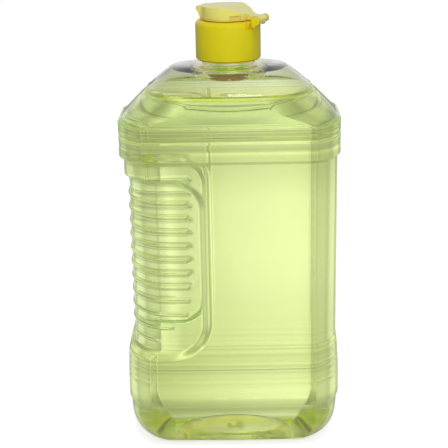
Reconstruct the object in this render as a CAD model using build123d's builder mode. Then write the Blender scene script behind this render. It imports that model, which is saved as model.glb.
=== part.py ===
from build123d import *
import math
import os

# Clear one litre cologne bottle with a ribbed side grip and a flip-top screw cap.
# Origin at the middle of the base, +Z up, front towards -Y, grip on the -X side.
os.makedirs("parts", exist_ok=True)

# Blown body
wall = 0.55
half_width = 52.1
half_depth = 32.4
corner_radius = 22.4
crease_angle = 27.0
face_bow = 0.5
panel_recess = 1.5
bevel = 1.1

# Heights up the body
base_height = 21.4
base_draw_in = 15.0
base_radius = 17.5
base_step = 1.0
lower_band_bottom = 24.0
lower_band_full = 38.0
lower_line = 46.4
lower_line_share = 0.25
panel_bottom = 56.5
panel_edge_share = 0.7
panel_top = 146.5
groove_height = 157.3
groove_half = 1.0
groove_depth = 0.7
shoulder_start = 163.5
shoulder_top = 186.2
fill_height = 176.2
liquid_gap = 0.05

# Shoulder, from the upper band in to the neck
shoulder_top_width = 26.9
shoulder_top_depth = 18.8
shoulder_width_power = 1.1
shoulder_depth_power = 1.75
shoulder_roundness = 0.98
shoulder_rounding_rate = 7.3
shoulder_steps = 8
base_steps = 6

# Push-up under the base
push_up_half_width = 33.0
push_up_half_depth = 13.4
push_up_height = 4.5
push_up_draft = 50.0

# Grip recess on the left side: a shallow ledge with the deeper grip floor in it
grip_slope = 1.5
grip_depth = 2.2
grip_bottom = 53.3
grip_top = 136.2
grip_edge_x = -13.9
grip_radius = 14.0
grip_round = 26.0
ledge_depth = 0.6
ledge_bottom = 50.0
ledge_top = 151.0
ledge_end = 146.2
ledge_edge_x = -10.4
ledge_radius = 17.0
cutter_reach = 4.0
cutter_overrun = 4.0

# Ribs in the grip
rib_count = 11
rib_first = 58.0
rib_pitch = 6.95
rib_height = 0.8
rib_half = 1.25
rib_crown = 0.5
rib_end_x = 19.5
rib_short_below = 73.0
rib_shortening = 1.07

# Neck finish
neck_radius = 12.4
bore_radius = 10.9
neck_top = 205.0
flange_radius = 18.3
flange_thickness = 1.5
thread_pitch = 4.2
thread_turns = 1.5
thread_depth = 1.15
thread_root = 2.0
thread_crest = 1.0
thread_start = 194.0
thread_bite = 0.25
bore_overrun = 2.2

# Cap
cap_radius = 15.2
cap_bottom = 189.7
cap_top = 208.0
cap_bore = 13.9
cap_chamfer = 0.8
cap_round = 2.2
fit = 0.25
liner_thickness = 0.9
liner_gap = 0.05
liner_lip = 1.0
spout_radius = 4.5
spout_height = 3.0
orifice_radius = 2.4

# Lid and its hinge
hinge_direction = -20.0
hinge_x = 16.0
lid_gap = 0.3
lid_radius = 11.9
lid_height = 6.0
lid_wall = 1.2
lid_flat_end = 3.8
lid_slope_end = 13.5
lid_slope_drop = 3.9
lip_reach = 14.6
lip_half = 5.0
lip_drop = 1.3
lip_hollow = 0.5
arm_half = 4.0
knuckle_radius = 1.9
knuckle_width = 3.0
web_height = 2.4
trunnion_radius = 0.8
trunnion_length = 1.4
pin_radius = 2.0
pin_reach = 2.0
slot_angle = 33.0
slot_width = 3.0
slot_depth = 3.4
window_angle = 52.0
window_width = 5.5
window_height = 2.6
window_recess = 0.7

deck_underside = neck_top + liner_thickness + 2 * liner_gap
lid_bottom = cap_top + lid_gap
lid_top = lid_bottom + lid_height
thread_radius = neck_radius + thread_depth


def outline(z, half_w, half_d, radius):
    """Plan section: bowed front and back, creased corners, flat sides."""
    crease = math.radians(crease_angle)
    middle = (crease + math.pi / 2) / 2
    face_y = half_d - face_bow
    centre_x = half_w - radius
    centre_y = face_y - radius * math.cos(crease)
    crease_x = centre_x + radius * math.sin(crease)
    arc_x = centre_x + radius * math.sin(middle)
    arc_y = centre_y + radius * math.cos(middle)
    with BuildSketch(Plane.XY.offset(z)) as section:
        with BuildLine():
            for side in (-1, 1):
                ThreePointArc((-crease_x, side * face_y), (0, side * half_d), (crease_x, side * face_y))
                Line((side * half_w, -centre_y), (side * half_w, centre_y))
                for end in (-1, 1):
                    ThreePointArc(
                        (side * crease_x, end * face_y),
                        (side * arc_x, end * arc_y),
                        (side * half_w, end * centre_y),
                    )
        make_face()
    return section.sketch


def ring(z, inset, radius=None):
    """Plan section of the body at a depth below its widest bands."""
    return outline(z, half_width - inset, half_depth - inset, radius or corner_radius - inset)


def body_sections(skin):
    """Sections from the base to the top of the shoulder, each drawn in by skin."""
    sections = []
    for k in range(base_steps + 1):
        turn = math.pi / 2 * k / base_steps
        rise = 1 - math.cos(turn)
        draw_in = base_step + base_draw_in * (1 - math.sin(turn))
        radius = base_radius + (corner_radius - base_step - base_radius) * rise**2
        sections.append(ring(skin + (base_height - skin) * rise, skin + draw_in, radius - skin))
    levels = [
        (lower_band_bottom, base_step),
        (lower_band_bottom + bevel, 0),
        (lower_band_full, 0),
        (lower_line, lower_line_share * panel_recess),
        (panel_bottom - bevel, panel_edge_share * panel_recess),
        (panel_bottom, panel_recess),
        (panel_top, panel_recess),
        (panel_top + bevel, 0),
        (groove_height - groove_half, 0),
        (groove_height - groove_half / 2, groove_depth),
        (groove_height + groove_half / 2, groove_depth),
        (groove_height + groove_half, 0),
        (shoulder_start - bevel / 2, 0),
    ]
    sections += [ring(z, skin + inset) for z, inset in levels]
    rise = shoulder_top - skin - shoulder_start
    for k in range(shoulder_steps + 1):
        t = math.sin(math.pi / 2 * k / shoulder_steps)
        spread = (1 - t**shoulder_width_power) ** (1 / shoulder_width_power)
        swell = (1 - t**shoulder_depth_power) ** (1 / shoulder_depth_power)
        half_w = shoulder_top_width + (half_width - panel_recess / 2 - shoulder_top_width) * spread
        half_d = shoulder_top_depth + (half_depth - panel_recess / 2 - shoulder_top_depth) * swell
        rounding = 1 - (1 - t) ** shoulder_rounding_rate
        radius = corner_radius + (shoulder_roundness * half_d - corner_radius) * rounding
        sections.append(outline(shoulder_start + rise * t, half_w - skin, half_d - skin, radius - skin))
    return sections


def grip_ring(z, inset):
    """Plan section in the grip, where the corners are rounder."""
    return ring(z, inset, grip_round + panel_recess + grip_depth - inset)


def recess(skin, depth, edge_x, bottom, top, radius):
    """Cut to a depth below the panel round the left side, its walls sloped on the faces."""
    floor_y = half_depth - face_bow - panel_recess - depth - skin
    outer_y = floor_y + cutter_reach
    faces = []
    for y in (-outer_y, -floor_y, floor_y, outer_y):
        spread = grip_slope * (abs(y) - floor_y) + skin
        left = -half_width - cutter_overrun
        low = bottom - spread
        high = top + spread
        with BuildSketch(Plane.XZ.offset(-y)) as face:
            with BuildLine():
                FilletPolyline(
                    (left, low), (edge_x + spread, low), (edge_x + spread, high), (left, high),
                    radius=radius + spread / 2,
                )
                Line((left, high), (left, low))
            make_face()
        faces.append(face.sketch)
    with BuildPart() as cut:
        loft(faces, ruled=True)
        core = grip_ring(0, panel_recess + depth + skin)
        extrude(core, amount=shoulder_top, mode=Mode.SUBTRACT)
    return cut.part


def rib(index, skin):
    """One raised rib round the grip floor; the lowest ones stop short."""
    z = rib_first + rib_pitch * index
    end_x = -rib_end_x - rib_shortening * max(0.0, rib_short_below - z) - skin
    floor = panel_recess + grip_depth + skin
    with BuildPart() as slab:
        loft(
            [
                grip_ring(z - rib_half + skin, floor),
                grip_ring(z - rib_crown + skin / 2, floor - rib_height),
                grip_ring(z + rib_crown - skin / 2, floor - rib_height),
                grip_ring(z + rib_half - skin, floor),
            ],
            ruled=True,
        )
        with Locations((end_x - half_width / 2, 0, z)):
            Box(half_width, 2 * half_depth, 4 * rib_half, mode=Mode.INTERSECT)
    return slab.part


def push_up(skin):
    """Raised middle of the base, an oval with sloped walls."""
    draft = math.radians(push_up_draft)
    with BuildPart() as dome:
        for z in (-skin, push_up_height + skin):
            grow = skin / math.cos(draft) - z * math.tan(draft)
            with BuildSketch(Plane.XY.offset(z)):
                Ellipse(push_up_half_width + grow, push_up_half_depth + grow)
        loft(ruled=True)
    return dome.part


def blown_form(skin):
    """Whole blown shape without the neck, drawn in by skin."""
    with BuildPart() as form:
        loft(body_sections(skin), ruled=True)
        with BuildPart(mode=Mode.PRIVATE) as ledge:
            add(recess(skin, ledge_depth, ledge_edge_x, ledge_bottom, ledge_top, ledge_radius))
            with BuildSketch(Plane.XY.offset(ledge_end)):
                Rectangle(4 * half_width, 4 * half_depth)
            extrude(amount=shoulder_top, mode=Mode.SUBTRACT)
        add(ledge.part, mode=Mode.SUBTRACT)
        add(recess(skin, grip_depth, grip_edge_x, grip_bottom, grip_top, grip_radius), mode=Mode.SUBTRACT)
        for index in range(rib_count):
            add(rib(index, skin))
        add(push_up(skin), mode=Mode.SUBTRACT)
    return form.part


def thread_ridge(root_radius, crest_radius, start, width, crest):
    """Helical ridge from root_radius to crest_radius."""
    with BuildPart() as ridge:
        with BuildLine() as path:
            Helix(thread_pitch, thread_pitch * thread_turns, root_radius, center=(0, 0, start))
        with BuildSketch(Plane.XZ):
            with BuildLine():
                Polyline(
                    (root_radius, start - width / 2),
                    (root_radius, start + width / 2),
                    (crest_radius, start + crest / 2),
                    (crest_radius, start - crest / 2),
                    close=True,
                )
            make_face()
        sweep(path=path.line, is_frenet=True)
    return ridge.part


# Bottle, blown in one piece with its neck
with BuildPart() as bottle:
    add(blown_form(0))
    with BuildSketch(Plane.XY.offset(shoulder_top - flange_thickness / 2)):
        Circle(flange_radius)
    extrude(amount=flange_thickness)
    with BuildSketch(Plane.XY.offset(shoulder_top)):
        Circle(neck_radius)
    extrude(amount=neck_top - shoulder_top)
    add(thread_ridge(neck_radius - thread_bite, thread_radius, thread_start, thread_root, thread_crest))
    add(blown_form(wall), mode=Mode.SUBTRACT)
    with BuildSketch(Plane.XY.offset(neck_top)):
        Circle(bore_radius)
    extrude(amount=shoulder_top - neck_top - bore_overrun, mode=Mode.SUBTRACT)
bottle.part.label = "bottle"

# Cologne, up to its level in the shoulder
with BuildPart() as cologne:
    add(blown_form(wall + liquid_gap))
    with BuildSketch(Plane.XY.offset(fill_height)):
        Rectangle(3 * half_width, 3 * half_depth)
    extrude(amount=shoulder_top, mode=Mode.SUBTRACT)
cologne.part.label = "cologne"

# Liner ring between the neck and the cap
with BuildPart() as cap_liner:
    with BuildSketch(Plane.XY.offset(neck_top + liner_gap)):
        Circle(cap_bore - fit)
        Circle(bore_radius - liner_lip, mode=Mode.SUBTRACT)
    extrude(amount=liner_thickness)
cap_liner.part.label = "cap_liner"


def hinge_bar(radius, near, far):
    """Round bar along the hinge line between two distances from its middle, both sides."""
    with BuildPart() as bar:
        for side in (-1, 1):
            with BuildSketch(Plane.XZ.offset(-side * near)):
                with Locations((hinge_x, lid_bottom)):
                    Circle(radius)
            extrude(amount=-side * (far - near))
    return bar.part


# Screw cap: skirt, deck, spout and hinge knuckles
with BuildPart() as screw_cap:
    with BuildSketch(Plane.XY.offset(cap_bottom)):
        Circle(cap_radius)
    extrude(amount=cap_top - cap_bottom)
    chamfer(screw_cap.faces().sort_by(Axis.Z)[0].edges(), cap_chamfer)
    fillet(screw_cap.faces().sort_by(Axis.Z)[-1].edges(), cap_round)
    with BuildSketch(Plane.XY.offset(cap_top)):
        Circle(spout_radius)
    extrude(amount=spout_height)
    with BuildSketch(Plane.XY.offset(cap_bottom)):
        Circle(cap_bore)
    extrude(amount=deck_underside - cap_bottom, mode=Mode.SUBTRACT)
    with BuildSketch(Plane.XY.offset(deck_underside)):
        Circle(orifice_radius)
    extrude(amount=cap_top + spout_height - deck_underside, mode=Mode.SUBTRACT)
    add(
        thread_ridge(
            cap_bore + thread_bite, neck_radius + fit,
            thread_start - thread_pitch / 2, thread_root - fit, thread_crest - fit,
        )
    )
    add(hinge_bar(knuckle_radius, arm_half + fit, arm_half + fit + knuckle_width))
    for side in (-1, 1):
        with Locations((hinge_x, side * (arm_half + fit + knuckle_width / 2), cap_top)):
            web_align = (Align.MAX, Align.CENTER, Align.MAX)
            Box(hinge_x - cap_bore - fit, knuckle_width, web_height, align=web_align)
        with Locations(Location((0, 0, 0), (0, 0, side * slot_angle))):
            with Locations((cap_radius, 0, cap_top - slot_depth / 2)):
                Box(2 * (cap_radius - cap_bore - 2 * fit), slot_width, slot_depth, mode=Mode.SUBTRACT)
    add(hinge_bar(knuckle_radius + fit, 0, arm_half + fit), mode=Mode.SUBTRACT)
    add(hinge_bar(trunnion_radius + fit, 0, arm_half + trunnion_length + 2 * fit), mode=Mode.SUBTRACT)
screw_cap.part.label = "screw_cap"


def lid_profile(half_span, inner):
    """Side view of the lid, extruded across it: its outside, or the hollow under it."""
    skin = lid_wall if inner else 0
    slope = lid_slope_drop / (lid_slope_end - lid_flat_end)
    top = lid_top - skin
    flat_end = lid_flat_end - skin * slope / 2
    right = lid_radius - skin if inner else hinge_x
    left = skin - lid_radius
    low = top - slope * (right - flat_end)
    with BuildPart() as block:
        with BuildSketch(Plane.XZ):
            with BuildLine():
                Line((left, lid_bottom), (right, lid_bottom))
                if inner:
                    Polyline((right, lid_bottom), (right, low), (flat_end, top))
                    Polyline((flat_end, top), (left, top), (left, lid_bottom))
                else:
                    shelf = lid_bottom + knuckle_radius
                    Polyline(
                        (right, lid_bottom), (right, shelf), (lid_slope_end, shelf),
                        (lid_flat_end, top), (lip_drop - lip_reach, top), (-lip_reach, top - lip_drop),
                    )
                    ThreePointArc(
                        (-lip_reach, top - lip_drop),
                        (-lid_radius - lip_hollow, lid_bottom + lid_height / 3),
                        (-lid_radius, lid_bottom),
                    )
            make_face()
        extrude(amount=half_span, both=True)
    return block.part


# Flip lid: hollow dome, thumb lip, arm and sealing pin
with BuildPart() as flip_lid:
    add(lid_profile(lid_radius, False))
    with BuildPart(mode=Mode.PRIVATE) as plan:
        with BuildSketch(Plane.XY.offset(lid_bottom)):
            Circle(lid_radius)
            with Locations((-lip_reach / 2, 0)):
                RectangleRounded(lip_reach, 2 * lip_half, lip_half / 2)
            with Locations((hinge_x / 2, 0)):
                Rectangle(hinge_x, 2 * arm_half)
        extrude(amount=lid_height)
    add(plan.part, mode=Mode.INTERSECT)
    with BuildPart(mode=Mode.PRIVATE) as hollow:
        add(lid_profile(lid_radius, True))
        with BuildSketch(Plane.XY.offset(lid_bottom)):
            Circle(lid_radius - lid_wall)
        extrude(amount=lid_height, mode=Mode.INTERSECT)
    add(hollow.part, mode=Mode.SUBTRACT)
    for side in (-1, 1):
        with Locations(Location((0, 0, 0), (0, 0, side * window_angle))):
            with Locations((lid_radius, 0, lid_bottom + window_height / 2)):
                Box(2 * window_recess, window_width, window_height, mode=Mode.SUBTRACT)
    with BuildSketch(Plane.XY.offset(lid_top - lid_wall)):
        Circle(pin_radius)
    extrude(amount=cap_top + spout_height - pin_reach - lid_top + lid_wall)
    add(hinge_bar(knuckle_radius, 0, arm_half))
    add(hinge_bar(trunnion_radius, 0, arm_half + trunnion_length))
flip_lid.part.label = "flip_lid"

turn = Rotation(0, 0, hinge_direction)
export_step(bottle.part, "parts/bottle.step")
export_step(cologne.part, "parts/cologne.step")
export_step(cap_liner.part, "parts/cap_liner.step")
export_step(turn * screw_cap.part, "parts/screw_cap.step")
export_step(turn * flip_lid.part, "parts/flip_lid.step")
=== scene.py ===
import math

import bpy
import numpy as np
from mathutils import Matrix, Vector


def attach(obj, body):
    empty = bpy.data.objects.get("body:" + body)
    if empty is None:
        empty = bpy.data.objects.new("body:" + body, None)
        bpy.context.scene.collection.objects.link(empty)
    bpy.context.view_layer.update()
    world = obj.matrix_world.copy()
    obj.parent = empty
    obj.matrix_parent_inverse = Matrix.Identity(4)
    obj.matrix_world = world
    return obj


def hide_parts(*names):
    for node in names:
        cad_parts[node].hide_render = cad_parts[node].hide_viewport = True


# Looks of the clear cologne bottle: blown wall, liquid, cap, lid, floor, light and camera.
# The bottle's lengths are in millimetres until a mesh is made, and share the model's frame.
# X runs across the front, Y to the back and Z up. The front has negative Y.
MM = 0.001

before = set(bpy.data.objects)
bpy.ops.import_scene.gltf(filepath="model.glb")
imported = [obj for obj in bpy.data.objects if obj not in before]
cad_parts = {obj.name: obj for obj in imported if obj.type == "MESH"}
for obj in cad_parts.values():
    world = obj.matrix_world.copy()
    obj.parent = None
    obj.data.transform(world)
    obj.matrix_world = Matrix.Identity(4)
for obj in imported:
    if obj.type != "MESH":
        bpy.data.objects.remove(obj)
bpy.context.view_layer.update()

# Body, as the model has it
WALL = 0.55
HALF_WIDTH = 52.1
HALF_DEPTH = 32.38
CORNER_RADIUS = 22.4
CREASE_ANGLE = math.radians(27)
FACE_BOW = 0.5
PANEL_RECESS = 1.5
BEVEL = 1.1
BASE_HEIGHT = 21.4
BASE_DRAW_IN = 15.0
BASE_RADIUS = 17.5
BASE_STEP = 1.0
LOWER_BAND_BOTTOM = 24.0
LOWER_BAND_FULL = 38.0
LOWER_LINE = 46.4
LOWER_LINE_SHARE = 0.25
PANEL_BOTTOM = 56.5
PANEL_FOOT_SHARE = 0.7
PANEL_TOP = 146.5
GROOVE_HEIGHT = 157.3
GROOVE_HALF = 1.0
GROOVE_DEPTH = 0.7

# Height and inset of the wall, from the base up to the shoulder
WALL_PROFILE = [
    (0, BASE_STEP),
    (LOWER_BAND_BOTTOM, BASE_STEP),
    (LOWER_BAND_BOTTOM + BEVEL, 0),
    (LOWER_BAND_FULL, 0),
    (LOWER_LINE, LOWER_LINE_SHARE * PANEL_RECESS),
    (PANEL_BOTTOM - BEVEL, PANEL_FOOT_SHARE * PANEL_RECESS),
    (PANEL_BOTTOM, PANEL_RECESS),
    (PANEL_TOP, PANEL_RECESS),
    (PANEL_TOP + BEVEL, 0),
    (GROOVE_HEIGHT - GROOVE_HALF, 0),
    (GROOVE_HEIGHT - GROOVE_HALF / 2, GROOVE_DEPTH),
    (GROOVE_HEIGHT + GROOVE_HALF / 2, GROOVE_DEPTH),
    (GROOVE_HEIGHT + GROOVE_HALF, 0),
]

# Shoulder: its creases fade and fill on the way up
SHOULDER_START = 163.5
SHOULDER_INSET = PANEL_RECESS / 2
SHOULDER_TOP = 186.2
SHOULDER_TOP_WIDTH = 26.9
SHOULDER_TOP_DEPTH = 18.8
SHOULDER_WIDTH_POWER = 1.1
SHOULDER_DEPTH_POWER = 1.75
SHOULDER_ROUNDNESS = 0.98
SHOULDER_ROUNDING_RATE = 7.3
CREASE_FADE = 0.35
CREASE_FILL = 0.12

# The back has a softer lower line and fainter rings
BACK_BLEND = 0.3 * HALF_DEPTH
BACK_SOFTNESS = 14.0
BACK_RINGS = 0.4

# Faint rings round the bands: height, depth and half width
BAND_RINGS = [
    (33.7, 0.1, 0.6), (37.6, 0.3, 0.7), (40.4, 0.1, 0.6), (43.6, 0.16, 0.7),
    (46.8, 0.14, 0.7), (52.8, 0.12, 0.8), (152.7, 0.2, 1.2), (161.3, 0.16, 0.6),
]

# Push-up of the base, and the small dimple in its middle
PUSH_UP_HALF_WIDTH = 34.5
PUSH_UP_HALF_DEPTH = 15.0
PUSH_UP_HEIGHT = 5.5
PUSH_UP_FULL = 0.72
DIMPLE_DEPTH = 0.7
DIMPLE_RADIUS = 3.2
DIMPLE_RUN = 1.2

# Ledge round the grip and the grip's floor, both open to the left:
# right edge, bottom, top, and radii of the lower and the upper corner
LEDGE_REGION = (-9.2, 49.0, 158.0, 20.0, 19.0)
LEDGE_RUN = 2.2
LEDGE_DEPTH = 0.6
LEDGE_TOP_FADE = (-0.2, 0.6)
FLOOR_REGION = (-11.6, 50.2, 139.0, 17.0, 15.0)
FLOOR_RUN = 2.8
GRIP_DEPTH = 2.2
GRIP_ROUND = 26.0
GRIP_PLAIN = 20.0
GRIP_TURN = 0.0085
GRIP_TURN_START = 23.5
GRIP_LOW = 48.5
GRIP_HIGH = 147.5

# Ribs on the grip's floor; the lowest ones are shorter
RIB_COUNT = 11
RIB_FIRST = 58.0
RIB_PITCH = 6.95
RIB_HEIGHT = 0.8
RIB_HALF = 1.25
RIB_END = -19.5
RIB_END_RUN = 1.4
RIB_SHORT_BELOW = 73.0
RIB_SHORTENING = 1.07

# Neck: each path gives radii and heights
NECK_RADIUS = 12.4
BORE_RADIUS = 10.9
NECK_TOP = 205.0
RIM_ROUND = 0.4
FLANGE_RADIUS = 18.3
FLANGE_THICKNESS = 1.5
FLANGE_TOP = SHOULDER_TOP + FLANGE_THICKNESS / 2
FLANGE_PATH = [
    (FLANGE_RADIUS - 0.05, SHOULDER_TOP),
    (FLANGE_RADIUS, SHOULDER_TOP + 0.2),
    (FLANGE_RADIUS, FLANGE_TOP - 0.25),
    (FLANGE_RADIUS - 0.3, FLANGE_TOP),
    (NECK_RADIUS + 1.2, FLANGE_TOP + 0.05),
    (NECK_RADIUS + 0.35, FLANGE_TOP + 0.35),
    (NECK_RADIUS, FLANGE_TOP + 1.1),
]
RIM_PATH = [
    (NECK_RADIUS, NECK_TOP - RIM_ROUND),
    (NECK_RADIUS - RIM_ROUND, NECK_TOP),
    (BORE_RADIUS + RIM_ROUND, NECK_TOP),
    (BORE_RADIUS, NECK_TOP - RIM_ROUND),
]
BORE_PATH = [(BORE_RADIUS, height) for height in (200, 195, 190, 186, 184.4)]
ROOT_PATH = [
    (BORE_RADIUS + 0.5, 182.9),
    (BORE_RADIUS + 1.8, 181.9),
    (BORE_RADIUS + 3.6, 181.4),
    (BORE_RADIUS + 5.4, 181.9),
    (BORE_RADIUS + 6.7, 183.2),
    (BORE_RADIUS + 7.0, 185.0),
]
THREAD_PITCH = 4.2
THREAD_TURNS = 1.5
THREAD_START = 194.0
THREAD_DEPTH = 1.15
THREAD_HALF = 1.0
THREAD_FLANK = 0.5
THREAD_RUN_IN = 0.04
THREAD_LOWEST_ROW = 189.5

# Liquid: it reaches a share of the way into the wall, and its rim climbs the wall.
# The rim's path gives the reach in from the wall and the height over the level.
FILL_HEIGHT = 176.2
LIQUID_SKIN = 0.6 * WALL
MENISCUS_HEIGHT = 0.9
MENISCUS_PATH = [(0.4, 0.5), (0.8, 0.2), (1.2, 0.01)]
MENISCUS_REACH = 1.3
LEVEL_CLEARANCE = 0.2

# Stations round a plan section: they lie closest where the grip's right edge runs
EDGE_LEFT = -22
EDGE_RIGHT = -7
STATIONS_LEFT = 11
STATIONS_EDGE = 25
STATIONS_RIGHT = 9
STATIONS_SIDE = 9
STATIONS_CORNER = 13
FACE_END = 0.006
CORNER_END = 0.02

# Rows up the form: they lie closest where it turns.
# Ranges give the first height, the limit and the step.
BASE_ROWS = 13
STEP_HEIGHTS = [22.2, 23.8, 24.0, 24.3, 24.8, 25.1, 25.4, 26.4]
RINGED_HEIGHTS = (27.4, 48.8, 0.6)
PLAIN_ROW_STEP = 0.85
PLAIN_ROWS_START = 49.0
PLAIN_ROWS_END = 140.6
RIB_CLEARANCE = 1.5
RIB_ROWS = [-1.25, -0.95, -0.6, -0.25, 0.25, 0.6, 0.95, 1.25, 2.5, 3.6, 4.6]
UPPER_HEIGHTS = [
    142, 144, 145.4, 146.1, 146.5, 146.9, 147.3, 147.6, 148, 149.5, 150.6, 151.2,
    151.8, 152.4, 153, 153.6, 154.2, 155, 155.8, 156.2, 156.5, 156.8, 157.3, 157.8,
    158.1, 158.4, 158.8, 160.2, 160.6, 161, 161.4, 161.8, 162.2, 162.7, 163.1, 163.4,
]
SHOULDER_ROWS = 22
SHOULDER_FIRST_ROW = 0.05
THREAD_ROW_STEP = 0.4
THREAD_CLEARANCE = 0.6

# Rows across the base and across the liquid's top, as shares of the way to the rim
POLE = 0.002
BASE_SHARES = [
    POLE, 0.03, 0.05, 0.08, 0.12, 0.2, 0.3, 0.4, 0.5, 0.58, 0.66, 0.72, 0.78, 0.84, 0.9, 0.96,
]
TOP_SHARES = [1.0, 0.7, 0.4, 0.1, POLE]

# Segments of a plan section, counted round from the front face; the odd ones are corners,
# given with the signs of their X and Y
FRONT, RIGHT, BACK, LEFT = 0, 2, 4, 6
CORNER_SIGNS = {1: (1, -1), 3: (1, 1), 5: (-1, 1), 7: (-1, -1)}
CORNERS_AFTER_FACE = (1, 5)

# Colours and surfaces; the cloud colours lie in patches over the plain ones
WHITE = (1, 1, 1, 1)
WALL_COLOUR = (0.997, 0.998, 0.999, 1)
WALL_INDEX = 1.5
WALL_ROUGHNESS = 0.008
WALL_WAVES = {"scale": 45, "detail": 1.0, "stretch": (1, 1, 0.35), "strength": 0.12, "distance": 0.002}
TRAPPED_DEPTH = 12
LIQUID_INDEX = 1.36
LIQUID_DEPTH_COLOUR = (0.87, 0.905, 0.22, 1)
LIQUID_DENSITY = 20
LIQUID_BODY = (0.9, 1, 0.95, 1)
# Painted shade under the shoulder and along the rim, and a painted sheen on the flat top, set into the
# liquid's base colour
LIQUID_SHOULDER_PAINTED_SHADE = (0.605, 0.735, 0.63, 1)
LIQUID_RIM_PAINTED_SHADE = (0.78, 0.86, 0.1, 1)
LIQUID_TOP_PAINTED_SHEEN = (0.97, 1, 0.98, 1)
# Heights of the liquid's painted shade and painted sheen, each with its colour
LIQUID_PAINTED_SHADE_AND_SHEEN = [
    (SHOULDER_START - 1, LIQUID_BODY),
    (SHOULDER_START + 1.5, LIQUID_SHOULDER_PAINTED_SHADE),
    (FILL_HEIGHT - 1.2, LIQUID_SHOULDER_PAINTED_SHADE),
    (FILL_HEIGHT - 0.8, LIQUID_RIM_PAINTED_SHADE),
    (FILL_HEIGHT - 0.3, LIQUID_RIM_PAINTED_SHADE),
    (FILL_HEIGHT - 0.2, LIQUID_TOP_PAINTED_SHEEN),
    (FILL_HEIGHT + 0.12, LIQUID_TOP_PAINTED_SHEEN),
    (FILL_HEIGHT + 0.25, LIQUID_RIM_PAINTED_SHADE),
    (FILL_HEIGHT + MENISCUS_HEIGHT, LIQUID_RIM_PAINTED_SHADE),
]
CAP_COLOUR = (0.76, 0.7, 0.003, 1)
CAP_CLOUD = (0.7, 0.64, 0.002, 1)
CAP_ROUGHNESS = 0.3
LID_COLOUR = (0.82, 0.85, 0.2, 1)
LID_CLOUD = (0.76, 0.78, 0.15, 1)
LID_ROUGHNESS = 0.28
LID_COAT = 0.6
YELLOW_THROUGH = (0.95, 0.62, 0.02, 1)
# Painted orange shade in crevices and in the gaps between parts, with how far its occlusion test reaches
# and its samples
CREVICE_PAINTED_SHADE = (0.75, 0.38, 0.0, 1)
PAINTED_SHADE_REACH = 2.5
PAINTED_SHADE_SAMPLES = 6
FOAM_COLOUR = (0.85, 0.85, 0.82, 1)
FOAM_CLOUD = (0.8, 0.8, 0.77, 1)
FOAM_THROUGH = (0.8, 0.8, 0.75, 1)
FOAM_ROUGHNESS = 0.7
MOULDED_INDEX = 1.49
MOULDED_SHINE = 0.35
MOULDED_GRAIN = {"scale": 260, "detail": 2.0, "stretch": (1, 1, 1), "strength": 0.08, "distance": 0.0004}
COAT_ROUGHNESS = 0.12
LET_THROUGH = 0.25
FLOOR_COLOUR = (0.9, 0.9, 0.9, 1)
FLOOR_GLOW = 0.62

# Surroundings seen through the bottle: brightness by a direction's X and by its Z
SIDE_LEVELS = [
    (-1.0, 0.75), (-0.7, 0.95), (-0.6, 0.5), (-0.5, 0.9), (-0.38, 0.85), (-0.31, 0.6),
    (-0.24, 0.7), (-0.17, 0.68), (-0.13, 0.56), (-0.1, 0.62), (-0.05, 0.68), (-0.01, 0.88),
    (0.03, 1.0), (0.06, 0.84), (0.1, 0.6), (0.13, 0.54), (0.17, 0.68), (0.24, 0.7),
    (0.31, 0.6), (0.38, 0.85), (0.5, 0.9), (0.6, 0.5), (0.7, 0.95), (1.0, 0.75),
]
HEIGHT_LEVELS = [
    (-1.0, 0.95), (-0.8, 0.7), (-0.72, 0.5), (-0.63, 1.0), (-0.52, 1.0), (-0.47, 0.78),
    (-0.42, 0.9), (-0.33, 1.0), (-0.29, 0.97), (-0.25, 0.75), (-0.21, 0.66), (-0.15, 0.54),
    (-0.07, 0.66), (0.02, 0.8), (0.1, 0.6), (0.3, 0.62), (0.6, 0.85), (1.0, 0.95),
]

# Tints of the dark and of the bright directions, level and steep, and where they turn steep
DARK_LEVEL = (0.66, 0.76, 0.3, 1)
DARK_STEEP = (0.9, 0.66, 0.02, 1)
DARK_TURN = (0.1, 0.4)
BRIGHT_STEEP = (1, 0.84, 0.35, 1)
BRIGHT_TURN = (0.35, 0.6)

# Strength of the surroundings for each kind of ray
SEEN_THROUGH = 1.22
DIFFUSE_LIGHT = 0.4
MIRRORED_LIGHT = 0.9
BACKDROP = 1.0
BOUNCES = 32
MIRROR_BOUNCES = 8


# Blown form

def ease(value, low, high):
    """Smooth step from 0 at low to 1 at high."""
    t = np.clip((value - low) / (high - low), 0, 1)
    return t * t * (3 - 2 * t)


def outline_stations():
    """Places round a plan section, as a segment number and a position from 0 to 1 along it."""
    crease = HALF_WIDTH - CORNER_RADIUS + CORNER_RADIUS * math.sin(CREASE_ANGLE)
    across = np.concatenate([
        np.linspace(-crease, EDGE_LEFT, STATIONS_LEFT, endpoint=False),
        np.linspace(EDGE_LEFT, EDGE_RIGHT, STATIONS_EDGE, endpoint=False),
        np.linspace(EDGE_RIGHT, crease, STATIONS_RIGHT),
    ])
    face = np.sort(np.concatenate([(across / crease + 1) / 2, [FACE_END, 1 - FACE_END]]))
    corner = np.sort(np.concatenate([np.linspace(0, 1, STATIONS_CORNER)[1:-1], [CORNER_END]]))
    side = np.linspace(0, 1, STATIONS_SIDE)
    segments = [
        (FRONT, face), (1, corner), (RIGHT, side), (3, 1 - corner[::-1]),
        (BACK, face[::-1]), (5, corner), (LEFT, side), (7, 1 - corner[::-1]),
    ]
    return np.array([(number, t) for number, places in segments for t in places])


STATIONS = outline_stations()


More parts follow.
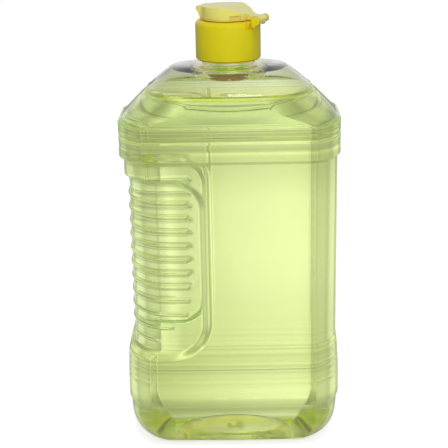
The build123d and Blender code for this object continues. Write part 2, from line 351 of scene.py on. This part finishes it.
def outline(half_w, half_d, radius, crease=CREASE_ANGLE):
    """Plan section at the stations: bowed faces, creased corners, flat sides."""
    face_y = half_d - FACE_BOW
    centre_x = half_w - radius
    centre_y = face_y - radius * math.cos(crease)
    crease_x = centre_x + radius * math.sin(crease)
    points = []
    for number, t in STATIONS:
        segment = int(number)
        if segment in (FRONT, BACK):
            x = crease_x * (2 * t - 1)
            y = half_d - FACE_BOW * (x / crease_x) ** 2
            points.append((x, -y) if segment == FRONT else (x, y))
        elif segment in (RIGHT, LEFT):
            y = centre_y * (2 * t - 1)
            points.append((half_w, y) if segment == RIGHT else (-half_w, -y))
        else:
            start, end = crease, math.pi / 2
            if segment not in CORNERS_AFTER_FACE:
                start, end = end, start
            angle = start + (end - start) * t
            sign_x, sign_y = CORNER_SIGNS[segment]
            x = centre_x + radius * math.sin(angle)
            y = centre_y + radius * math.cos(angle)
            points.append((sign_x * x, sign_y * y))
    return np.array(points)


def outward(points):
    """Outward direction at each point of a closed plan section."""
    along = np.roll(points, -1, axis=0) - np.roll(points, 1, axis=0)
    normal = np.stack([along[:, 1], -along[:, 0]], axis=1)
    return normal / np.linalg.norm(normal, axis=1, keepdims=True)


def grip_outline(points, skin):
    """Plan section of the grip's floor, station by station beside the panel's section."""
    depth = PANEL_RECESS + GRIP_DEPTH + skin
    half_w = HALF_WIDTH - depth
    half_d = HALF_DEPTH - depth
    floor = outline(half_w, half_d, GRIP_ROUND - skin)
    front = STATIONS[:, 0] == FRONT
    crease = np.abs(floor[front, 0]).max()
    panel_crease = np.abs(points[front, 0]).max()
    squeeze = (crease - GRIP_PLAIN) / (panel_crease - GRIP_PLAIN)
    face = np.isin(STATIONS[:, 0], (FRONT, BACK))
    x = points[face, 0]
    squeezed = np.sign(x) * (GRIP_PLAIN + (np.abs(x) - GRIP_PLAIN) * squeeze)
    x = np.where(np.abs(x) > GRIP_PLAIN, squeezed, x)
    turn = GRIP_TURN * np.maximum(0, np.abs(x) - GRIP_TURN_START) ** 2
    floor[face, 0] = x
    floor[face, 1] = np.sign(floor[face, 1]) * (half_d - FACE_BOW * (x / crease) ** 2 - turn)
    fade = np.clip((half_w - np.abs(floor[~face, 0])) / (half_w - crease), 0, 1)
    turn = GRIP_TURN * (crease - GRIP_TURN_START) ** 2 * fade
    floor[~face, 1] -= np.sign(floor[~face, 1]) * turn
    return floor


def ribs(x, z):
    """Height of the ribs over the grip's floor."""
    total = np.zeros(len(x))
    for index in range(RIB_COUNT):
        height = RIB_FIRST + RIB_PITCH * index
        end = RIB_END - RIB_SHORTENING * max(0.0, RIB_SHORT_BELOW - height)
        crest = math.cos(min(1, abs(z - height) / RIB_HALF) * math.pi / 2) ** 2
        total += RIB_HEIGHT * crest * ease(end - x, 0, RIB_END_RUN)
    return total


def region_depth(x, z, region):
    """How far a point is inside a region that is open to the left, with rounded right corners."""
    edge, bottom, top, low_radius, high_radius = region
    middle = (bottom + top) / 2
    radius = low_radius if z < middle else high_radius
    across = x - (edge - radius)
    upright = abs(z - middle) - ((top - bottom) / 2 - radius)
    outside = np.hypot(np.maximum(across, 0), max(upright, 0))
    return radius - outside - np.minimum(np.maximum(across, upright), 0)


def with_grip(points, z, skin):
    """Panel section with the ledge, the grip's floor and its ribs worked in."""
    x = points[:, 0]
    ledge = LEDGE_DEPTH * ease(region_depth(x, z, LEDGE_REGION), 0, LEDGE_RUN)
    ledge = ledge * ease(PANEL_TOP - z, *LEDGE_TOP_FADE)
    share = ease(region_depth(x, z, FLOOR_REGION), 0, FLOOR_RUN)
    shallow = points - outward(points) * ledge[:, None]
    floor = grip_outline(points, skin)
    floor = floor + outward(floor) * ribs(floor[:, 0], z)[:, None]
    return shallow + (floor - shallow) * share[:, None]


def shoulder_row(z, skin):
    """Plan section of the shoulder at a height, drawn in by skin."""
    t = min(1, (z - SHOULDER_START) / (SHOULDER_TOP - skin - SHOULDER_START))
    spread = (1 - t**SHOULDER_WIDTH_POWER) ** (1 / SHOULDER_WIDTH_POWER)
    swell = (1 - t**SHOULDER_DEPTH_POWER) ** (1 / SHOULDER_DEPTH_POWER)
    half_w = SHOULDER_TOP_WIDTH + (HALF_WIDTH - SHOULDER_INSET - SHOULDER_TOP_WIDTH) * spread
    half_d = SHOULDER_TOP_DEPTH + (HALF_DEPTH - SHOULDER_INSET - SHOULDER_TOP_DEPTH) * swell
    rounding = 1 - (1 - t) ** SHOULDER_ROUNDING_RATE
    faded = float(ease(t, 0, CREASE_FADE))
    radius = CORNER_RADIUS + (SHOULDER_ROUNDNESS * half_d - CORNER_RADIUS) * rounding
    radius *= 1 - CREASE_FILL * faded
    return outline(half_w - skin, half_d - skin, radius - skin, CREASE_ANGLE * (1 - faded))


def body_row(z, skin):
    """Plan section of the blown form at a height, drawn in by skin."""
    if z >= SHOULDER_START:
        return shoulder_row(z, skin)
    levels, insets = zip(*WALL_PROFILE)
    inset = float(np.interp(z, levels, insets))
    radius = CORNER_RADIUS - inset - skin
    if z < BASE_HEIGHT:
        rise = (z - skin) / (BASE_HEIGHT - skin)
        inset += BASE_DRAW_IN * (1 - math.sqrt(max(0, 1 - (1 - rise) ** 2)))
        radius = BASE_RADIUS + (CORNER_RADIUS - BASE_STEP - BASE_RADIUS) * rise**2 - skin
    points = outline(HALF_WIDTH - inset - skin, HALF_DEPTH - inset - skin, radius)
    behind = ease(points[:, 1:], -BACK_BLEND, BACK_BLEND)
    soft_low = LOWER_LINE - BACK_SOFTNESS
    soft_high = PANEL_BOTTOM + BACK_SOFTNESS
    if LOWER_BAND_FULL < z < soft_high:
        back_inset = PANEL_RECESS * float(ease(z, soft_low, soft_high))
        points = points + outward(points) * (inset - back_inset) * behind
    ring = sum(depth * math.exp(-(((z - height) / half) ** 2)) for height, depth, half in BAND_RINGS)
    fullness = BACK_RINGS + (1 - BACK_RINGS) * (1 - behind)
    points = points - outward(points) * ring * fullness
    return with_grip(points, z, skin) if GRIP_LOW < z < GRIP_HIGH else points


def body_heights(skin):
    """Heights of the rows up the blown form."""
    quarter = math.pi / 2
    base = skin + (BASE_HEIGHT - skin) * (1 - np.cos(np.linspace(0, quarter, BASE_ROWS)))
    ribbed = np.add.outer(RIB_FIRST + RIB_PITCH * np.arange(RIB_COUNT), RIB_ROWS).ravel()
    below = np.arange(PLAIN_ROWS_START, RIB_FIRST - RIB_CLEARANCE, PLAIN_ROW_STEP)
    above = np.arange(ribbed[-1] + PLAIN_ROW_STEP, PLAIN_ROWS_END, PLAIN_ROW_STEP)
    arc = np.sin(np.linspace(0, quarter, SHOULDER_ROWS))[:-1]
    shoulder_low = SHOULDER_START + SHOULDER_FIRST_ROW
    shoulder = shoulder_low + (SHOULDER_TOP - skin - shoulder_low) * arc
    ringed = np.arange(*RINGED_HEIGHTS)
    return np.concatenate([base, STEP_HEIGHTS, ringed, below, ribbed, above, UPPER_HEIGHTS, shoulder])


def with_height(points, height):
    """Plan points with their heights."""
    heights = np.broadcast_to(height, (len(points),))
    return np.column_stack([points, heights])


def push_up_lift(points, skin):
    """Height of the base's middle above its rim."""
    x, y = points.T
    reach = np.hypot(x / (PUSH_UP_HALF_WIDTH + skin), y / (PUSH_UP_HALF_DEPTH + skin))
    dimple = DIMPLE_DEPTH * ease(DIMPLE_RADIUS - np.hypot(x, y), 0, DIMPLE_RUN)
    return PUSH_UP_HEIGHT * (1 - ease(reach, PUSH_UP_FULL, 1.0)) - dimple


def form_rows(skin, top=None):
    """Rows of the blown form from the middle of the base up to its top or to a level."""
    rim = body_row(skin, skin)
    rows = []
    for share in BASE_SHARES:
        points = rim * share
        rows.append(with_height(points, skin + push_up_lift(points, skin)))
    heights = [z for z in body_heights(skin) if top is None or z < top - LEVEL_CLEARANCE]
    rows += [with_height(body_row(z, skin), z) for z in heights]
    return rows


# Neck

def circle_row(angles, radius, height):
    """Round row at the stations' angles."""
    return with_height(np.column_stack([radius * np.cos(angles), radius * np.sin(angles)]), height)


def thread_ridge(angles, z):
    """Share of the thread's depth at a height, by angle."""
    turn = (angles % (2 * math.pi)) / (2 * math.pi)
    ridge = np.zeros(len(angles))
    for lap in range(math.ceil(THREAD_TURNS) + 1):
        course = turn + lap
        centre = THREAD_START + THREAD_PITCH * course
        crest = ease(THREAD_HALF - np.abs(z - centre), 0, THREAD_FLANK)
        run = ease(course, 0, THREAD_RUN_IN) * ease(THREAD_TURNS - course, 0, THREAD_RUN_IN)
        ridge = np.maximum(ridge, crest * run)
    return ridge


def neck_rows(angles):
    """Rows over the flange, up the threaded neck and down its bore."""
    rows = [circle_row(angles, radius, height) for radius, height in FLANGE_PATH]
    for z in np.arange(THREAD_LOWEST_ROW, NECK_TOP - THREAD_CLEARANCE, THREAD_ROW_STEP):
        rows.append(circle_row(angles, NECK_RADIUS + THREAD_DEPTH * thread_ridge(angles, z), z))
    rows += [circle_row(angles, radius, height) for radius, height in RIM_PATH + BORE_PATH + ROOT_PATH]
    return rows


# Pieces

def surface(name, rows):
    """Closed mesh through rows of points, with a pole at the first and at the last row."""
    count = len(rows[0])
    vertices = np.concatenate(rows) * MM
    faces = []
    for low in range(0, (len(rows) - 1) * count, count):
        high = low + count
        for k in range(count):
            after = (k + 1) % count
            faces.append((low + k, low + after, high + after, high + k))
    last = (len(rows) - 1) * count
    faces.append(tuple(range(count))[::-1])
    faces.append(tuple(range(last, last + count)))
    mesh = bpy.data.meshes.new(name)
    mesh.from_pydata(vertices.tolist(), [], faces)
    mesh.polygons.foreach_set("use_smooth", [True] * len(mesh.polygons))
    mesh.update()
    piece = bpy.data.objects.new(name, mesh)
    bpy.context.scene.collection.objects.link(piece)
    return piece


def make_bottle():
    """One closed skin: outside up to the neck's rim, inside back down to the base."""
    outer = form_rows(0.0)
    inner = form_rows(WALL)[::-1]
    angles = np.arctan2(outer[-1][:, 1], outer[-1][:, 0])
    piece = surface("bottle_wall", outer + neck_rows(angles) + inner)
    piece.data.materials.append(clear_plastic())
    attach(piece, "bottle")
    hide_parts("bottle")


def make_liquid():
    """Liquid up to its level, with a rim where it wets the wall."""
    rows = form_rows(LIQUID_SKIN, FILL_HEIGHT)
    edge = body_row(FILL_HEIGHT, LIQUID_SKIN)
    direction = outward(edge)
    rows.append(with_height(edge, FILL_HEIGHT + MENISCUS_HEIGHT))
    for reach, lift in MENISCUS_PATH:
        rows.append(with_height(edge - direction * reach, FILL_HEIGHT + lift))
    level = edge - direction * MENISCUS_REACH
    rows += [with_height(level * share, FILL_HEIGHT) for share in TOP_SHARES]
    piece = surface("cologne_fill", rows)
    piece.data.materials.append(cologne_liquid())
    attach(piece, "bottle")
    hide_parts("cologne")


# Nodes

def new_material(name):
    """Material that has only its output node."""
    material = bpy.data.materials.new(name)
    material.use_nodes = True
    tree = material.node_tree
    tree.nodes.clear()
    return material, tree, tree.nodes.new("ShaderNodeOutputMaterial")


def add_node(tree, kind, inputs=None, **settings):
    """Node with its settings, and with each input linked to an output or set to a constant."""
    node = tree.nodes.new("ShaderNode" + kind)
    for name, value in settings.items():
        setattr(node, name, value)
    for name, value in (inputs or {}).items():
        if isinstance(value, bpy.types.NodeSocket):
            tree.links.new(value, node.inputs[name])
        else:
            node.inputs[name].default_value = value
    return node


def blend(tree, factor, first, second):
    """Colour that goes from the first to the second as the factor goes from 0 to 1."""
    inputs = {"Factor": factor, "A": first, "B": second}
    return add_node(tree, "Mix", inputs, data_type="RGBA").outputs["Result"]


def pick(tree, chooser, otherwise, chosen):
    """One value where chooser is 1, another where it is 0."""
    return add_node(tree, "Mix", {"Factor": chooser, "A": otherwise, "B": chosen}).outputs["Result"]


def product(tree, first, second):
    """Product of two values."""
    return add_node(tree, "Math", {0: first, 1: second}, operation="MULTIPLY").outputs["Value"]


def mix_shaders(tree, factor, first, second):
    """Shader that goes from the first to the second as the factor goes from 0 to 1."""
    return add_node(tree, "MixShader", {"Fac": factor, 1: first, 2: second}).outputs["Shader"]


def ramp(tree, value, stops):
    """Colour by a value, from stops of value and colour."""
    low = stops[0][0]
    high = stops[-1][0]
    spread = add_node(tree, "MapRange", {"Value": value, "From Min": low, "From Max": high})
    shades = add_node(tree, "ValToRGB", {"Fac": spread.outputs["Result"]})
    elements = shades.color_ramp.elements
    while len(elements) < len(stops):
        elements.new(0.5)
    for element, (place, colour) in zip(elements, stops):
        element.position = (place - low) / (high - low)
        element.color = colour
    return shades.outputs["Color"]


def levels_by(tree, value, stops):
    """Brightness by a value, from stops of value and level."""
    return ramp(tree, value, [(place, (level, level, level, 1)) for place, level in stops])


def fade_in(tree, value, low, high):
    """Level that goes from 0 to 1 as a value goes from low to high."""
    return levels_by(tree, value, [(low, 0.0), (high, 1.0)])


def axes(tree, space):
    """Coordinates in a space, one output for each axis."""
    place = add_node(tree, "TexCoord")
    return add_node(tree, "SeparateXYZ", {"Vector": place.outputs[space]}).outputs


def noise_bump(tree, scale, detail, stretch, strength, distance):
    """Surface direction and level of noise in the object's own space."""
    place = add_node(tree, "TexCoord")
    mapping = add_node(tree, "Mapping", {"Vector": place.outputs["Object"], "Scale": stretch})
    noise = add_node(tree, "TexNoise", {
        "Vector": mapping.outputs["Vector"],
        "Scale": scale,
        "Detail": detail,
    })
    bump = add_node(tree, "Bump", {
        "Height": noise.outputs["Fac"],
        "Strength": strength,
        "Distance": distance,
    })
    return bump.outputs["Normal"], noise.outputs["Fac"]


# Materials

def clear_plastic():
    """Blown clear plastic, with the faint waviness of a stretched wall."""
    material, tree, output = new_material("clear_plastic")
    wavy, _ = noise_bump(tree, **WALL_WAVES)
    shader = add_node(tree, "BsdfPrincipled", {
        "Base Color": WALL_COLOUR,
        "Transmission Weight": 1,
        "IOR": WALL_INDEX,
        "Roughness": WALL_ROUGHNESS,
        "Normal": wavy,
    })
    seen = add_node(tree, "LightPath")
    bounces = {0: seen.outputs["Ray Depth"], 1: TRAPPED_DEPTH}
    trapped = add_node(tree, "Math", bounces, operation="GREATER_THAN")
    straight = add_node(tree, "BsdfTransparent")
    both = mix_shaders(tree, trapped.outputs["Value"], shader.outputs["BSDF"], straight.outputs["BSDF"])
    tree.links.new(both, output.inputs["Surface"])
    return material


def cologne_liquid():
    """Clear liquid whose yellow-green deepens with its thickness; by height its base colour carries painted
    shade under the shoulder and along the rim, and a painted sheen on its flat top.
    """
    material, tree, output = new_material("cologne_liquid")
    # Painted shade and painted sheen in the base colour, by the height in the liquid
    stops = [(height * MM, colour) for height, colour in LIQUID_PAINTED_SHADE_AND_SHEEN]
    shader = add_node(tree, "BsdfPrincipled", {
        "Base Color": ramp(tree, axes(tree, "Object")["Z"], stops),
        "Transmission Weight": 1,
        "IOR": LIQUID_INDEX,
        "Roughness": 0.0,
    })
    depth = add_node(tree, "VolumeAbsorption", {
        "Color": LIQUID_DEPTH_COLOUR,
        "Density": LIQUID_DENSITY,
    })
    tree.links.new(shader.outputs["BSDF"], output.inputs["Surface"])
    tree.links.new(depth.outputs["Volume"], output.inputs["Volume"])
    return material


def moulded_plastic(name, colour, cloud, through, roughness, coat=0.0):
    """Moulded plastic with light clouding, a fine moulded skin, painted orange shade in its crevices and
    some light let through.
    """
    material, tree, output = new_material(name)
    skin, noise = noise_bump(tree, **MOULDED_GRAIN)
    # Painted shade: orange mixed into the base colour where ambient occlusion finds the surface hemmed in
    crevice_shade_mask = add_node(tree, "AmbientOcclusion", {"Distance": PAINTED_SHADE_REACH * MM}, samples=PAINTED_SHADE_SAMPLES)
    clouded = blend(tree, noise, cloud, colour)
    shader = add_node(tree, "BsdfPrincipled", {
        "Base Color": blend(tree, crevice_shade_mask.outputs["AO"], CREVICE_PAINTED_SHADE, clouded),
        "Roughness": roughness,
        "IOR": MOULDED_INDEX,
        "Specular IOR Level": MOULDED_SHINE,
        "Coat Weight": coat,
        "Coat Roughness": COAT_ROUGHNESS,
        "Normal": skin,
    })
    glow = add_node(tree, "BsdfTranslucent", {"Color": through})
    both = mix_shaders(tree, LET_THROUGH, shader.outputs["BSDF"], glow.outputs["BSDF"])
    tree.links.new(both, output.inputs["Surface"])
    return material


def floor_material():
    """White to the camera apart from the shadow, and clear to rays from inside the bottle."""
    material, tree, output = new_material("pale_floor")
    seen = add_node(tree, "LightPath")
    shader = add_node(tree, "BsdfDiffuse", {"Color": FLOOR_COLOUR})
    strength = product(tree, seen.outputs["Is Camera Ray"], FLOOR_GLOW)
    glow = add_node(tree, "Emission", {"Color": WHITE, "Strength": strength})
    solid = add_node(tree, "AddShader", {0: shader.outputs["BSDF"], 1: glow.outputs["Emission"]})
    clear = add_node(tree, "BsdfTransparent")
    inside = seen.outputs["Is Transmission Ray"]
    either = mix_shaders(tree, inside, solid.outputs["Shader"], clear.outputs["BSDF"])
    tree.links.new(either, output.inputs["Surface"])
    return material


def dress_node(node, material):
    """Put a material in every slot of a CAD node."""
    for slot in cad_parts[node].material_slots:
        slot.material = material


# Surroundings, in metres

def make_floor():
    """Pale floor under the bottle."""
    half = 4.0
    corners = [(-half, -half, 0), (half, -half, 0), (half, half, 0), (-half, half, 0)]
    mesh = bpy.data.meshes.new("floor")
    mesh.from_pydata(corners, [], [(0, 1, 2, 3)])
    mesh.materials.append(floor_material())
    floor = bpy.data.objects.new("floor", mesh)
    bpy.context.scene.collection.objects.link(floor)


def make_world():
    """White to the camera; softly uneven to the rays that pass through the bottle."""
    world = bpy.data.worlds.new("surroundings")
    world.use_nodes = True
    tree = world.node_tree
    tree.nodes.clear()
    seen = add_node(tree, "LightPath")
    direction = axes(tree, "Generated")
    sides = levels_by(tree, direction["X"], SIDE_LEVELS)
    heights = levels_by(tree, direction["Z"], HEIGHT_LEVELS)
    uneven = product(tree, sides, heights)
    dark = blend(tree, fade_in(tree, direction["Z"], *DARK_TURN), DARK_LEVEL, DARK_STEEP)
    bright = blend(tree, fade_in(tree, direction["Z"], *BRIGHT_TURN), WHITE, BRIGHT_STEEP)
    tint = blend(tree, uneven, dark, bright)
    behind = seen.outputs["Is Transmission Ray"]
    strength = pick(tree, seen.outputs["Is Glossy Ray"], DIFFUSE_LIGHT, MIRRORED_LIGHT)
    strength = pick(tree, behind, strength, product(tree, uneven, SEEN_THROUGH))
    strength = pick(tree, seen.outputs["Is Camera Ray"], strength, BACKDROP)
    shine = add_node(tree, "Background", {
        "Color": blend(tree, behind, WHITE, tint),
        "Strength": strength,
    })
    add_node(tree, "OutputWorld", {"Surface": shine.outputs["Background"]})
    bpy.context.scene.world = world


def make_lamp(name, place, target, size, power, mirrored=False):
    """Soft lamp that points at a target; only a mirrored one shows in shiny surfaces."""
    data = bpy.data.lights.new(name, "AREA")
    data.shape = "RECTANGLE"
    data.size, data.size_y = size
    data.energy = power
    lamp = bpy.data.objects.new(name, data)
    lamp.location = place
    lamp.rotation_euler = (Vector(target) - Vector(place)).to_track_quat("-Z", "Y").to_euler()
    lamp.visible_glossy = mirrored
    lamp.visible_transmission = mirrored
    bpy.context.scene.collection.objects.link(lamp)


def make_camera():
    """Camera at the photograph's angle, found by fitting the bottle's edges."""
    pitch = math.radians(18.0)
    azimuth = math.radians(0.5)
    roll = math.radians(-1.0)
    distance = 0.584
    target = Vector((0, 0, 0.1079))
    focal_pixels = 1192
    frame_pixels = 448
    offset_pixels = 7.3
    back_x = math.sin(azimuth) * math.cos(pitch)
    back_y = -math.cos(azimuth) * math.cos(pitch)
    back = Vector((back_x, back_y, math.sin(pitch)))
    right = Vector((math.cos(azimuth), math.sin(azimuth), 0))
    up = back.cross(right)
    turned_right = math.cos(roll) * right + math.sin(roll) * up
    turned_up = math.cos(roll) * up - math.sin(roll) * right
    spot = target + distance * back
    data = bpy.data.cameras.new("camera")
    data.sensor_width = 36
    data.lens = focal_pixels / frame_pixels * data.sensor_width
    data.shift_x = -offset_pixels / frame_pixels
    camera = bpy.data.objects.new("camera", data)
    camera.matrix_world = Matrix((
        (turned_right.x, turned_up.x, back.x, spot.x),
        (turned_right.y, turned_up.y, back.y, spot.y),
        (turned_right.z, turned_up.z, back.z, spot.z),
        (0, 0, 0, 1),
    ))
    bpy.context.scene.collection.objects.link(camera)
    bpy.context.scene.camera = camera


def set_up_view():
    """Plain view, and enough bounces for the liquid inside the wall."""
    scene = bpy.context.scene
    scene.view_settings.view_transform = "Standard"
    scene.cycles.max_bounces = BOUNCES
    scene.cycles.transmission_bounces = BOUNCES
    scene.cycles.transparent_max_bounces = BOUNCES
    scene.cycles.glossy_bounces = MIRROR_BOUNCES


make_bottle()
make_liquid()
cap_plastic = moulded_plastic("cap_plastic", CAP_COLOUR, CAP_CLOUD, YELLOW_THROUGH, CAP_ROUGHNESS)
lid_plastic = moulded_plastic("lid_plastic", LID_COLOUR, LID_CLOUD, YELLOW_THROUGH, LID_ROUGHNESS, LID_COAT)
liner_foam = moulded_plastic("liner_foam", FOAM_COLOUR, FOAM_CLOUD, FOAM_THROUGH, FOAM_ROUGHNESS)
dress_node("screw_cap", cap_plastic)
dress_node("flip_lid", lid_plastic)
dress_node("cap_liner", liner_foam)
make_floor()
make_world()
make_lamp("key_lamp", (0.04, -0.34, 0.92), (0, 0, 0.1), size=(0.35, 0.35), power=3)
make_lamp("fill_lamp", (0.1, -1.0, 0.5), (0, 0, 0.12), size=(0.8, 0.8), power=5)
make_lamp("glint_lamp", (0.06, -0.62, 0.75), (0, 0, 0.16), size=(0.14, 0.04), power=0.12, mirrored=True)
make_camera()
set_up_view()
